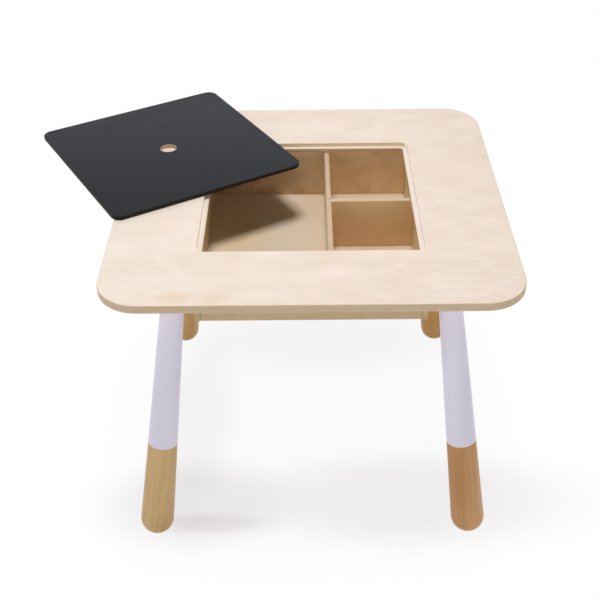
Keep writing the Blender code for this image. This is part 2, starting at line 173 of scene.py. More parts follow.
# painted shade on the back wall's top, under the ledge's overhang
BACK_PAINTED_SHADE = srgb(150, 112, 70)
KNOT = srgb(84, 58, 34)
# the left wall's tones, darker than the other walls': painted shade under the lid
LEFT_WALL_PAINTED_SHADE = (srgb(196, 172, 126), srgb(166, 140, 98))
# the right wall's tones, lighter than the other walls': painted light from the left
RIGHT_WALL_PAINTED_LIGHT = (srgb(246, 228, 182), srgb(224, 202, 154))
WALL_EDGE = (srgb(212, 186, 142), srgb(182, 154, 110))
OUTSIDE = (srgb(214, 188, 148), srgb(192, 163, 121))
# the long divider's tones, lighter than the walls': painted light on its left face
DIVIDER_PAINTED_LIGHT = (srgb(255, 242, 224), srgb(246, 226, 200))
DIVIDER_EDGE = (srgb(226, 196, 162), srgb(184, 150, 114))
PANEL = (srgb(248, 233, 215), srgb(232, 212, 189))
# painted warm bounce light, in the lid's shadow on the box's bottom panel
PANEL_PAINTED_BOUNCE_LIGHT = srgb(240, 206, 140)
# painted shade on the bottom panel, in the right compartments and by the back wall
PANEL_PAINTED_SHADE = srgb(208, 184, 148)
BOARD_LIGHT = srgb(41, 44, 50)
BOARD_DARK = srgb(10, 13, 19)
LID_CORE = (srgb(30, 23, 20), srgb(9, 8, 9))
LID_HOLE = (srgb(218, 184, 148), srgb(162, 124, 92))
LILAC = (srgb(241, 237, 252), srgb(236, 232, 247))
FOOT_TONES = {
    "front_left": (srgb(226, 190, 134), srgb(202, 162, 104)),
    "front_right": (srgb(224, 173, 116), srgb(188, 134, 80)),
    "back_left": (srgb(220, 177, 116), srgb(198, 151, 92)),
    "back_right": (srgb(206, 158, 91), srgb(184, 130, 66)),
}
BLOCK_WOOD = (srgb(214, 182, 140), srgb(178, 140, 96))
SCREW_STEEL = (srgb(168, 170, 174), srgb(140, 142, 148))
BOLT_STEEL = (srgb(176, 178, 182), srgb(150, 152, 158))
INSERT_ZINC = (srgb(206, 190, 140), srgb(180, 164, 120))
FLOOR_LIT = srgb(255, 249, 252)
FLOOR_BOUNCE = srgb(236, 236, 240)
# the tone of the floor's painted shadows
FLOOR_PAINTED_SHADOW_TONE = srgb(188, 175, 186)
WHITE = (1, 1, 1, 1)

# Spots on the veneer, each with its place in the board's own axes, its size, its strength and its tone
TOP_SPOTS = (
    ((-0.172, -0.252, 0.006), 0.020, 0.20, SMUDGE),
    ((-0.119, -0.256, 0.006), 0.015, 0.24, SMUDGE),
)
# Knots, and painted shade along the back wall's top edge under the ledge
BACK_KNOTS_AND_PAINTED_SHADE = (
    ((0.1038, -0.004, 0.0406), 0.0026, 0.55, KNOT),
    ((0.0942, -0.004, -0.0232), 0.0035, 0.24, KNOT),
    *(((x, -0.004, 0.050), 0.032, 0.3, BACK_PAINTED_SHADE) for x in (0.04, 0.075, 0.11, 0.145)),
)
# Painted light and shade on the bottom panel: a warm patch in the lid's shadow, shade in the right
# compartments and by the back wall
PANEL_PAINTED_LIGHT_AND_SHADE = (
    ((0.06, 0.003, -0.12), 0.11, 0.55, PANEL_PAINTED_BOUNCE_LIGHT),
    ((0.05, 0.003, 0.085), 0.2, 0.6, PANEL_PAINTED_SHADE),
    ((0.14, 0.003, 0.01), 0.05, 0.35, PANEL_PAINTED_SHADE),
)

# Patterns. A scale is in features per metre along the piece's own X, Y and Z. A step is where a value
# starts and ends to count. A share is a part of the tone. A lean is how the tone grows per metre, along X
# or to the left. A relief is in metres. A seed moves a pattern, so that no two boards look alike.
SEED_SHIFT = (1.7, 2.9, 0.6)
NOISE_MIDDLE = 0.5
NOISE_RANGE = (0.3, 0.7)     # where most values of a noise lie

# Veneer
CLOUD_SCALE = (12, 17, 17)
CLOUD_SHARE = 0.8
RING_SCALE = (2.5, 6, 6)
RING_TURN = 70               # in radians, over the whole range of the noise that the rings follow
RING_SHARE = 0.03
PATCH_SCALE = (5, 7, 7)
PATCH_STEP = (0.45, 0.7)
STREAK_SCALE = (42, 210, 210)
STREAK_SHARE = 0.85
FIBRE_SCALE = (35, 1100, 1100)
FIBRE_SHARE = 0.25
FIBRE_SHINE_STEP = (0.2, 0.8)
TONE_MIDDLE = 0.53           # the value halfway between the light tone and the dark one
TONE_REACH = 0.6             # from there to each of them, at a contrast of 1
YELLOW_SCALE = (20, 32, 32)
YELLOW_STEP = (0.5, 0.75)
YELLOW_SHARE = 0.12
PORE_SCALE = (130, 1500, 1500)
PORE_STEP = (0.68, 0.8)
PORE_SHARE = 0.3
SPOT_STRETCH = (0.6, 1, 1)   # a spot is longer along the grain
VENEER_ROUGHNESS = 0.42
POLISH = 0.05                # how much lower the roughness is between fibres
DULLNESS = 0.08              # how much higher it is on them
VENEER_RELIEF = 0.00004
TOP_LEAN = 0.5
LEDGE_CONTRAST = 0.6
BOX_CONTRAST = 1.3
BOX_ROUGHNESS = 0.5
# painted shade: the back wall grows darker towards the left, under the lid
BACK_PAINTED_SHADE_LEAN = -2.2

# Plywood edges
PLY_WANDER_SCALE = (14, 14, 14)
PLY_WANDER = 0.0004          # how far a ply drifts, in metres
END_STEP = (0.5, 0.85)       # of how squarely the edge faces along the grain
EDGE_FIBRE_LONG = 60
EDGE_FIBRE_FINE = 1400
EDGE_FIBRE_SHARE = 0.5
EDGE_END_SCALE = (1300, 1300, 1300)
EDGE_END_RISE = 0.1
PLY_TONE_SCALE = (0.73, 1, 1)  # in features per ply
PLY_TONE_SHARE = 0.9
SEAM_STEP = (0.42, 0.49)     # from the middle of a ply to its glue line, in plies
SEAM_SHARE = 0.55
EDGE_ROUGHNESS = 0.5
EDGE_SHINE = 0.5
EDGE_RELIEF = 0.00005
TOP_EDGE_CONTRAST = 0.75
BOX_EDGE_CONTRAST = 0.35
LID_EDGE_SHINE = 0.1

# Board paint
HAZE_SCALE = (7, 16, 7)
HAZE_SHARE = 0.4
HAZE_STEP = (0.2, 0.8)
SPECK_SCALE = (900, 900, 900)
SPECK_SHARE = 0.15
FAR_PAINTED_GLARE_SHARE = 0.55             # of how far back a place lies on the lid: a painted reflection, lighter towards the far side
BOARD_SHINE = 0.15
BOARD_ROUGHNESS = (0.47, 0.56)
BOARD_RELIEF = 0.00003
BOARD_SEED = 3

# Leg paint
RIPPLE_SCALE = (420, 420, 420)
PAINT_CLOUD_SCALE = (18, 18, 9)
PAINT_ROUGHNESS = (0.34, 0.42)
PAINT_RELIEF = 0.00004
PAINT_SEED = 20

# Solid wood
SOLID_RING_TURN = 900        # in radians, for each metre from the pith
SOLID_RING_DRIFT = 30        # in radians, over the whole range of the noise that moves the rings
SOLID_DRIFT_SCALE = (14, 14, 3.5)
SOLID_RING_SHARE = 0.045
SOLID_CLOUD_SCALE = (45, 45, 6)
SOLID_CLOUD_SHARE = 1.1
SOLID_FIBRE_SCALE = (700, 700, 22)
SOLID_FIBRE_SHARE = 0.35
SOLID_STEP = (0.4, 1.1)
FLECK_SCALE = (900, 900, 160)
FLECK_STEP = (0.66, 0.78)
FLECK_SHARE = 0.4
SOLID_ROUGHNESS = 0.45
SOLID_RELIEF = 0.00005
LEG_PITHS = {
    "back_right": (0.035, 0.02, 0),
    "back_left": (0.028, -0.03, 0),
    "front_left": (-0.034, 0.022, 0),
    "front_right": (-0.02, -0.038, 0),
}
BLOCK_PITH = (0.05, 0.02, 0)
DOWEL_PITH = (0.03, 0.02, 0)
# painted shade: the front right foot darker on its left, inner side
FOOT_PAINTED_SHADE_LEANS = {"front_right": 12.0}
FOOT_SEED = 10
BLOCK_SEED = 30
DOWEL_SEED = 40

# Metal
WEAR_SCALE = (700, 700, 700)
WEAR_POLISH = 0.08
WEAR_DULLNESS = 0.12
METAL_RELIEF = 0.00002
METAL_SEED = 1
SCREW_ROUGHNESS = 0.32
BOLT_ROUGHNESS = 0.3
INSERT_ROUGHNESS = 0.35

top_low, top_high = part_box("tabletop")
table_middle = Vector(((top_low.x + top_high.x) / 2, (top_low.y + top_high.y) / 2, 0))
lid_low, lid_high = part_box("lid")
mounts = {mount["name"]: Vector(mount["pos_m"]) for mount in frame["record"]["mounts"]}
foot_height = math.sqrt(FOOT_RADIUS**2 - FOOT_FLAT_RADIUS**2)
axis_rise = top_low.z - foot_height
leg_tilt = math.atan2(math.hypot(LEG_SPLAY, LEG_SPLAY), axis_rise)
leg_end = (axis_rise - BLOCK_HEIGHT) / math.cos(leg_tilt) - SEAT_GAP


def node(tree, kind, inputs=None, output=0, **settings):
    """Adds a node, fills its inputs with values or links, and returns one of its outputs."""
    made = tree.nodes.new("ShaderNode" + kind)
    for name, value in settings.items():
        setattr(made, name, value)
    for key, value in (inputs or {}).items():
        if isinstance(value, bpy.types.NodeSocket):
            tree.links.new(value, made.inputs[key])
        else:
            made.inputs[key].default_value = value
    return made.outputs[output]


def figure(tree, operation, first, second=0.0, third=0.0, clamp=False):
    """A sum on one, two or three numbers."""
    return node(tree, "Math", {0: first, 1: second, 2: third}, operation=operation, use_clamp=clamp)


def vector(tree, operation, first, second=(0, 0, 0), output="Vector"):
    """A sum on one or two vectors."""
    return node(tree, "VectorMath", {0: first, 1: second}, output, operation=operation)


def split(tree, place):
    """The X, Y and Z of a vector."""
    parts = tree.nodes.new("ShaderNodeSeparateXYZ")
    tree.links.new(place, parts.inputs[0])
    return parts.outputs


def summed(tree, parts):
    """The sum of some values, each times its share."""
    total = None
    for value, share in parts:
        part = figure(tree, "MULTIPLY", value, share)
        total = figure(tree, "ADD", total, part) if total else part
    return total


def noise(tree, place, scale, detail, distortion=0.0):
    """Cloudy noise from 0 to 1, its scale given for each axis in features per metre."""
    stretched = vector(tree, "MULTIPLY", place, scale)
    inputs = {"Vector": stretched, "Scale": 1.0, "Detail": detail, "Distortion": distortion}
    return node(tree, "TexNoise", inputs)


def step(tree, value, low, high, to_low=0.0, to_high=1.0):
    """A smooth step of a value from one level to another."""
    inputs = {"Value": value, "From Min": low, "From Max": high, "To Min": to_low, "To Max": to_high}
    return node(tree, "MapRange", inputs, interpolation_type="SMOOTHSTEP")


def mixed(tree, share, first, second, mode="MIX"):
    """Two colours mixed."""
    inputs = {"Factor": share, "A": first, "B": second}
    return node(tree, "Mix", inputs, "Result", data_type="RGBA", blend_type=mode)


def blended(tree, share, first, second):
    """Two shaders mixed."""
    return node(tree, "MixShader", {0: share, 1: first, 2: second})


def own_axes(tree, place, seed):
    """A point in a board's own axes, and the same point in the board's own stretch of a pattern."""
    inside = place.inverted()
    inputs = {
        "Vector": node(tree, "TexCoord", output="Object"),
        "Location": inside.translation,
        "Rotation": inside.to_euler(),
    }
    own = node(tree, "Mapping", inputs)
    moved = vector(tree, "ADD", own, [shift * seed for shift in SEED_SHIFT])
    return own, moved


def new_material(name, **values):
    """A Principled material whose uniform values are set on its sockets."""
    made = bpy.data.materials.new(name)
    made.use_nodes = True
    shader = made.node_tree.nodes["Principled BSDF"]
    for key, value in values.items():
        shader.inputs[key.replace("_", " ")].default_value = value
    return made, made.node_tree, shader


def connect(tree, shader, colour, height, relief, roughness=None):
    """Links a colour, a height for the bump and, where given, a roughness."""
    tree.links.new(colour, shader.inputs["Base Color"])
    if roughness:
        tree.links.new(roughness, shader.inputs["Roughness"])
    bump = node(tree, "Bump", {"Height": height, "Distance": relief, "Strength": 1.0})
    tree.links.new(bump, shader.inputs["Normal"])


def veneer(name, seed, place, tones, contrast=1.0, roughness=VENEER_ROUGHNESS,
           spots=(), lean=0.0, rim=None):
    """Lacquered rotary-cut birch: clouds, patches of streaks, faint rings, fibres along X and pores.

    Its tone and its streaks grow along X by the lean. A spot is a knot, a smudge or a patch of
    painted shade or painted bounce light, given as its place, size, strength and tone.
    A rim is painted shade on the ledge beside the recess's right side wall.
    """
    made, tree, shader = new_material(name)
    own, moved = own_axes(tree, place, seed)
    along = split(tree, own)["X"]
    slope = figure(tree, "MULTIPLY", along, lean)
    clouds = noise(tree, moved, CLOUD_SCALE, detail=4, distortion=0.7)
    field = noise(tree, moved, RING_SCALE, detail=1.5, distortion=0.8)
    rings = figure(tree, "SINE", figure(tree, "MULTIPLY", field, RING_TURN))
    patches = figure(tree, "ADD", noise(tree, moved, PATCH_SCALE, detail=1), slope)
    patches = step(tree, patches, *PATCH_STEP)
    streaks = noise(tree, moved, STREAK_SCALE, detail=3, distortion=1.2)
    streaks = figure(tree, "MULTIPLY", figure(tree, "SUBTRACT", streaks, NOISE_MIDDLE), patches)
    fibres = noise(tree, moved, FIBRE_SCALE, detail=2)
    shade = summed(tree, (
        (clouds, CLOUD_SHARE),
        (slope, 1.0),
        (rings, RING_SHARE),
        (streaks, STREAK_SHARE),
        (fibres, FIBRE_SHARE),
    ))
    reach = TONE_REACH / contrast
    colour = mixed(tree, step(tree, shade, TONE_MIDDLE - reach, TONE_MIDDLE + reach), *tones)
    yellow = step(tree, noise(tree, moved, YELLOW_SCALE, detail=2), *YELLOW_STEP, 0, YELLOW_SHARE)
    colour = mixed(tree, yellow, colour, YELLOW_BIRCH)

    pores = step(tree, noise(tree, moved, PORE_SCALE, detail=1), *PORE_STEP, 0, PORE_SHARE)
    colour = mixed(tree, pores, colour, tones[1], "MULTIPLY")
    for spot, size, strength, tone in spots:
        away = vector(tree, "MULTIPLY", vector(tree, "SUBTRACT", own, spot), SPOT_STRETCH)
        away = vector(tree, "LENGTH", away, output="Value")
        colour = mixed(tree, step(tree, away, 0, size, strength, 0), colour, tone)
    # Painted shade along the ledge's corner with the recess's right side wall
    if rim:
        share = step(tree, along, RECESS_SIDE / 2 - PAINTED_SHADE_RIM_WIDTH, RECESS_SIDE / 2)
        colour = mixed(tree, share, colour, rim)
    shine = step(tree, fibres, *FIBRE_SHINE_STEP, roughness - POLISH, roughness + DULLNESS)
    connect(tree, shader, colour, figure(tree, "SUBTRACT", fibres, pores), VENEER_RELIEF, shine)
    return made


def ply_edge(name, seed, place, axis, count, tones, shine=EDGE_SHINE, contrast=1.0):
    """The edge of plywood: plies that show their fibres and their ends by turns, with glue lines between.

    The axis is the number of the board's own axis that goes through its plies, and the count is theirs.
    """
    made, tree, shader = new_material(name, Roughness=EDGE_ROUGHNESS, Specular_IOR_Level=shine)
    own, moved = own_axes(tree, place, seed)
    wander = figure(tree, "SUBTRACT", noise(tree, moved, PLY_WANDER_SCALE, detail=1), NOISE_MIDDLE)
    depth = figure(tree, "ADD", split(tree, own)[axis], figure(tree, "MULTIPLY", wander, PLY_WANDER))
    plies = figure(tree, "MULTIPLY_ADD", depth, 1 / PLY, count / 2)
    layer = figure(tree, "FLOOR", plies)
    odd = figure(tree, "FLOORED_MODULO", layer, 2)

    facing = node(tree, "TexCoord", output="Normal")
    grain = place.to_3x3().col[0]
    along = figure(tree, "ABSOLUTE", vector(tree, "DOT_PRODUCT", facing, grain, "Value"))
    along = step(tree, along, *END_STEP)
    end = figure(tree, "ABSOLUTE", figure(tree, "SUBTRACT", odd, along))
    end = figure(tree, "MULTIPLY", end, contrast)

    scale = [EDGE_FIBRE_LONG] * 3
    scale[axis] = EDGE_FIBRE_FINE
    fibres = figure(tree, "MULTIPLY", noise(tree, moved, scale, detail=3), EDGE_FIBRE_SHARE)
    ends = figure(tree, "ADD", noise(tree, moved, EDGE_END_SCALE, detail=2), EDGE_END_RISE)
    shade = node(tree, "Mix", {"Factor": end, "A": fibres, "B": ends}, "Result")
    tone = noise(tree, node(tree, "CombineXYZ", {"X": layer, "Y": float(seed)}), PLY_TONE_SCALE, detail=0)
    tone = figure(tree, "SUBTRACT", tone, NOISE_MIDDLE)
    tone = figure(tree, "MULTIPLY", tone, PLY_TONE_SHARE * contrast)
    shade = figure(tree, "ADD", shade, tone)
    colour = mixed(tree, figure(tree, "ADD", shade, clamp=True), *tones)
    seam = figure(tree, "ABSOLUTE", figure(tree, "SUBTRACT", figure(tree, "FRACT", plies), 0.5))
    seam = step(tree, seam, *SEAM_STEP, 0, SEAM_SHARE * contrast)
    colour = mixed(tree, seam, colour, GLUE)
    connect(tree, shader, colour, figure(tree, "SUBTRACT", shade, seam), EDGE_RELIEF)
    return made


def chalkboard():
    """Matt black board paint with a faint haze of wiped chalk, and a painted reflection that lightens it
    towards the lid's far side.
    """
    made, tree, shader = new_material("chalkboard_paint", Specular_IOR_Level=BOARD_SHINE)
    _, moved = own_axes(tree, Matrix.Rotation(LID_TURN, 4, "Z"), BOARD_SEED)
    haze = noise(tree, moved, HAZE_SCALE, detail=5, distortion=0.8)
    specks = noise(tree, moved, SPECK_SCALE, detail=2)
    # A painted reflection: the board grows lighter towards the lid's far side
    depth = split(tree, node(tree, "TexCoord", output="Object"))["Y"]
    far = node(tree, "MapRange", {"Value": depth, "From Min": lid_low.y, "From Max": lid_high.y})
    share = summed(tree, ((far, FAR_PAINTED_GLARE_SHARE), (haze, HAZE_SHARE), (specks, SPECK_SHARE)))
    colour = mixed(tree, step(tree, share, *HAZE_STEP), BOARD_DARK, BOARD_LIGHT)
    shine = step(tree, haze, *NOISE_RANGE, *BOARD_ROUGHNESS)
    connect(tree, shader, colour, specks, BOARD_RELIEF, shine)
    return made


def paint(name, seed):
    """Satin paint with the slight ripple that a spray gun leaves."""
    made, tree, shader = new_material(name)
    _, moved = own_axes(tree, UNMOVED, seed)
    ripple = noise(tree, moved, RIPPLE_SCALE, detail=2)
    tone = noise(tree, moved, PAINT_CLOUD_SCALE, detail=3)
    colour = mixed(tree, step(tree, tone, *NOISE_RANGE), *LILAC)
    shine = step(tree, tone, *NOISE_RANGE, *PAINT_ROUGHNESS)
    connect(tree, shader, colour, ripple, PAINT_RELIEF, shine)
    return made


def solid_wood(name, seed, place, tones, pith, lean=0.0):
    """Lacquered hardwood, cut or turned from the solid, its rings round a pith beside the piece's own Z.

    Its tone darkens to the left by the lean, which paints shade on a foot's inner side.
    """
    made, tree, shader = new_material(name, Roughness=SOLID_ROUGHNESS)
    own, moved = own_axes(tree, place, seed)
    away = vector(tree, "MULTIPLY", vector(tree, "SUBTRACT", own, pith), X + Y)
    away = vector(tree, "LENGTH", away, output="Value")
    drift = noise(tree, moved, SOLID_DRIFT_SCALE, detail=2)
    rings = figure(tree, "SINE", summed(tree, ((away, SOLID_RING_TURN), (drift, SOLID_RING_DRIFT))))
    clouds = noise(tree, moved, SOLID_CLOUD_SCALE, detail=3)
    fibres = noise(tree, moved, SOLID_FIBRE_SCALE, detail=3)
    left = vector(tree, "DOT_PRODUCT", own, place.to_3x3().inverted() @ -X, "Value")
    shade = summed(tree, (
        (rings, SOLID_RING_SHARE),
        (clouds, SOLID_CLOUD_SHARE),
        (fibres, SOLID_FIBRE_SHARE),
        (left, lean),
    ))
    colour = mixed(tree, step(tree, shade, *SOLID_STEP), *tones)
    flecks = step(tree, noise(tree, moved, FLECK_SCALE, detail=1), *FLECK_STEP, 0, FLECK_SHARE)
    colour = mixed(tree, flecks, colour, tones[1], "MULTIPLY")
    connect(tree, shader, colour, figure(tree, "SUBTRACT", fibres, flecks), SOLID_RELIEF)
    return made


def metal(name, tones, roughness):
    """Plated metal with fine wear."""
    made, tree, shader = new_material(name, Metallic=1.0)
    _, moved = own_axes(tree, UNMOVED, METAL_SEED)
    wear = noise(tree, moved, WEAR_SCALE, detail=4)
    shine = step(tree, wear, *NOISE_RANGE, roughness - WEAR_POLISH, roughness + WEAR_DULLNESS)
    connect(tree, shader, mixed(tree, wear, *tones), wear, METAL_RELIEF, shine)
    return made


def join_rings(mesh, rings):
    """Puts faces between each ring of a mesh and the next."""
    count = len(rings[0])
    for here, there in zip(rings, rings[1:]):
        for number in range(count):
            after = (number + 1) % count
            mesh.faces.new((here[number], here[after], there[after], there[number]))


def close_rings(mesh, rings):
    """Makes a closed body of rings, and returns the faces at its two ends."""
    caps = [mesh.faces.new(reversed(rings[0])), mesh.faces.new(rings[-1])]
    join_rings(mesh, rings)
    return caps


def closed_loop(levels):
    """A mesh through rounded squares of (half side, corner radius, height), closed from last to first."""
    mesh = bmesh.new()
    rings = []
    for half, corner, height in levels:
        reach = math.hypot(half - corner, half - corner)
        ring = []
        for quarter in range(4):
            diagonal = quarter * QUARTER + QUARTER / 2
            for number in range(CORNER_STEPS + 1):
                angle = quarter * QUARTER + number * QUARTER / CORNER_STEPS
                x = reach * math.cos(diagonal) + corner * math.cos(angle)
                y = reach * math.sin(diagonal) + corner * math.sin(angle)
                ring.append(mesh.verts.new((x, y, height)))
        rings.append(ring)
    join_rings(mesh, rings + rings[:1])
    return mesh


def arc(half, corner, height, radius, first, last):
    """Levels along an arc round a centre, its angles in degrees from the outward direction."""
    levels = []
    for number in range(EASE_STEPS + 1):
        angle = math.radians(first + (last - first) * number / EASE_STEPS)
        out = radius * math.cos(angle)
        levels.append((half + out, corner + out, height + radius * math.sin(angle)))
    return levels


def turned(profile, sides):
    """A mesh turned about Z from a profile of (radius, height), top to bottom."""
    mesh = bmesh.new()
    verts = [mesh.verts.new((radius, 0, height)) for radius, height in profile]
    edges = [mesh.edges.new(pair) for pair in zip(verts, verts[1:])]
    bmesh.ops.spin(mesh, geom=verts + edges, axis=Z, angle=2 * math.pi, steps=sides, use_merge=True)
    return mesh


def new_object(name, data):
    """An object in the scene."""
    made = bpy.data.objects.new(name, data)
    bpy.context.scene.collection.objects.link(made)
    return made


def to_object(name, mesh, place=UNMOVED):
    """Turns a bmesh into an object whose mesh is moved to its place."""
    bmesh.ops.remove_doubles(mesh, verts=mesh.verts, dist=MERGE_DISTANCE)
    bmesh.ops.transform(mesh, matrix=place, verts=mesh.verts)
    bmesh.ops.recalc_face_normals(mesh, faces=mesh.faces)
    data = bpy.data.meshes.new(name)
    mesh.to_mesh(data)
    mesh.free()
    return new_object(name, data)


def grown(name):
    """A copy of a CAD node that is larger by the seat gap on each side, as a cutter."""
    low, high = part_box(name)
    size = high - low
    middle = (low + high) / 2
    mesh = bmesh.new()
    mesh.from_mesh(frame["nodes"][name].data)
    bmesh.ops.translate(mesh, vec=-middle, verts=mesh.verts)
    bmesh.ops.scale(mesh, vec=[(side + 2 * SEAT_GAP) / side for side in size], verts=mesh.verts)
    return to_object("cut_" + name, mesh, Matrix.Translation(middle))


def carve(made, cutters):
    """Cuts shapes out of a piece for good."""
    for cutter in cutters:
        modifier = made.modifiers.new(cutter.name, "BOOLEAN")
        modifier.operation = "DIFFERENCE"
        modifier.solver = "EXACT"
        modifier.object = cutter
    bpy.context.view_layer.update()
    whole = made.evaluated_get(bpy.context.evaluated_depsgraph_get())
    data = bpy.data.meshes.new_from_object(whole)
    made.modifiers.clear()
    made.data = data
    for cutter in cutters:
        bpy.data.objects.remove(cutter)


def piece(name, mesh, stands_for, looks, choose=None, place=UNMOVED, cutters=(), body="table"):
    """A finished piece that stands for a CAD node, with a material chosen for each face."""
    made = to_object(name, mesh, place)
    for look in looks:
        made.data.materials.append(look)
    if choose:
        for face in made.data.polygons:
            face.material_index = choose(face)
    if cutters:
        carve(made, cutters)
    made.data.shade_smooth()
    made.data.set_sharp_from_angle(angle=SHARP_ANGLE)
    weighted = made.modifiers.new("weighted", "WEIGHTED_NORMAL")
    weighted.keep_sharp = True
    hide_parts(stands_for)
    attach(made, body)


def build_tabletop():
    """The board with its recess and opening, every edge eased, and its plies showing at the edges."""
    low, high = top_low.z, top_high.z
    half = (top_high.x - top_low.x) / 2
    ledge = high - RECESS_DEPTH
    corner = TOP_CORNER - TOP_ROUND
    ease = RECESS_EASE
    levels = arc(half - TOP_ROUND, corner, low + TOP_ROUND, TOP_ROUND, -90, 0)
    levels += arc(half - TOP_ROUND, corner, high - TOP_ROUND, TOP_ROUND, 0, 90)
    levels += arc(RECESS_SIDE / 2 + ease, RECESS_CORNER + ease, high - ease, ease, 90, 180)
    levels.append((RECESS_SIDE / 2, RECESS_CORNER, ledge))
    levels += arc(OPENING_SIDE / 2 + ease, OPENING_CORNER + ease, ledge - ease, ease, 90, 180)
    levels += arc(OPENING_SIDE / 2 + ease, OPENING_CORNER + ease, low + ease, ease, 180, 270)
    middle = Matrix.Translation(table_middle + Z * (low + high) / 2)
    plies = round((high - low) / PLY)
    looks = (
        veneer("birch_top", 1, middle, BIRCH, spots=TOP_SPOTS, lean=TOP_LEAN),
        ply_edge("birch_top_edge", 2, middle, 2, plies, PLIES, contrast=TOP_EDGE_CONTRAST),
        veneer("birch_ledge", 12, middle, LEDGE, LEDGE_CONTRAST, rim=LEDGE_PAINTED_SHADE),
        ply_edge("birch_recess_edge_painted_light", 13, middle, 2, plies, RECESS_PAINTED_LIGHT),
        ply_edge("birch_opening_edge_painted_shade", 14, middle, 2, plies, OPENING_PAINTED_SHADE),
    )
    face_look, edge_look, ledge_look, recess_painted_light_look, opening_painted_shade_look = range(len(looks))
    hidden = [name for name in frame["nodes"] if name.startswith(("top_dowel", "block_screw"))]

    def choose(face):
        out = max(abs(face.center.x - table_middle.x), abs(face.center.y - table_middle.y))
        if face.normal.z > SQUARE_ON:
            return face_look if face.center.z > ledge + ease else ledge_look
        if face.normal.z < -SQUARE_ON:
            return face_look
        if out > RECESS_SIDE / 2 + 2 * ease:
            return edge_look
        if face.center.z < ledge:
            return opening_painted_shade_look
        # The recess's walls facing left and right take the painted light, its front and back walls the
        # plain edge
        return recess_painted_light_look if abs(face.normal.x) > abs(face.normal.y) else edge_look

    piece(
        "tabletop_board",
        closed_loop(levels),
        "tabletop",
        looks,
        choose,
        Matrix.Translation(table_middle),
        [grown(name) for name in hidden],
    )


def build_lid():
    """The painted lid: black on its faces and edges, bare in the finger hole."""
    half = LID_SIDE / 2 - LID_ROUND
    corner = LID_CORNER - LID_ROUND
    hole = FINGER_HOLE_RADIUS + FINGER_HOLE_EASE
    high = lid_high.z - lid_low.z
    levels = arc(half, corner, LID_ROUND, LID_ROUND, -90, 0)
    levels += arc(half, corner, high - LID_ROUND, LID_ROUND, 0, 90)
    levels += arc(hole, hole, high - FINGER_HOLE_EASE, FINGER_HOLE_EASE, 90, 180)
    levels += arc(hole, hole, FINGER_HOLE_EASE, FINGER_HOLE_EASE, 180, 270)
    middle = (lid_low + lid_high) / 2
    place = Matrix.Translation((middle.x, middle.y, lid_low.z)) @ Matrix.Rotation(LID_TURN, 4, "Z")
    centre = place @ Matrix.Translation(Z * high / 2)
    plies = round(high / PLY)
    looks = (
        chalkboard(),
        ply_edge("lid_edge", 5, centre, 2, plies, LID_CORE, LID_EDGE_SHINE),
        ply_edge("lid_hole_edge", 6, centre, 2, plies, LID_HOLE),
    )
    face_look, edge_look, hole_look = range(len(looks))

    def choose(face):
        if (face.center - middle).xy.length < hole:
            return hole_look if abs(face.normal.z) < HOLE_WALL_LEAN else face_look
        return edge_look if abs(face.normal.z) < LID_EDGE_LEAN else face_look

    piece("lid_board", closed_loop(levels), "lid", looks, choose, place, body="lid")


def plank(name, stands_for, seed, grain, across, low_ease, high_ease, neighbours=(),
          spots=(), tones=BOX_BIRCH, lean=0.0, edge_tones=WALL_EDGE):
    """A plywood board of the box, with eased edges, cut out round its neighbours."""
    low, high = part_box(stands_for)
    middle = (low + high) / 2
    axes = Matrix((grain, across, grain.cross(across))).transposed()
    length, thickness, width = (abs(side) for side in axes.transposed() @ (high - low))
    outline = []
    for number, ease in enumerate((high_ease, high_ease, low_ease, low_ease)):
        across_sign = 1 if number in (0, 3) else -1
        up_sign = 1 if number < 2 else -1
        for part in range(EASE_STEPS + 1):
            angle = number * QUARTER + part * QUARTER / EASE_STEPS
            y = across_sign * (thickness / 2 - ease) + ease * math.cos(angle)
            z = up_sign * (width / 2 - ease) + ease * math.sin(angle)
            outline.append((y, z))
    mesh = bmesh.new()
    ends = [[mesh.verts.new((x, y, z)) for y, z in outline] for x in (-length / 2, length / 2)]
    rims = [edge for cap in close_rings(mesh, ends) for edge in cap.edges]
    bmesh.ops.bevel(mesh, geom=rims, offset=END_EASE, segments=END_STEPS, profile=0.5, affect="EDGES")
    place = Matrix.Translation(middle) @ axes.to_4x4()
    plies = 2 * round(thickness / PLY / 2 - 0.5) + 1  # the nearest odd count
    looks = (
        veneer(f"{name}_face", seed, place, tones, BOX_CONTRAST, BOX_ROUGHNESS, spots, lean),
        ply_edge(f"{name}_edge", seed, place, 1, plies, edge_tones, contrast=BOX_EDGE_CONTRAST),
        veneer(f"{name}_outside", seed, place, OUTSIDE, BOX_CONTRAST, BOX_ROUGHNESS),
    )
    inner_look, edge_look, outer_look = range(len(looks))

    def choose(face):
        if abs(face.normal.dot(across)) < SQUARE_ON:
            return edge_look
        out = (middle - table_middle).xy.dot(face.normal.xy)
        return outer_look if out > BOX_HALF / 2 or face.normal.z < -SQUARE_ON else inner_look

    piece(name, mesh, stands_for, looks, choose, place, [grown(neighbour) for neighbour in neighbours])


def dowels(*ends):
    """The names of the dowels whose own names hold one of these words."""
    return [name for name in frame["nodes"] if "dowel" in name and any(end in name for end in ends)]


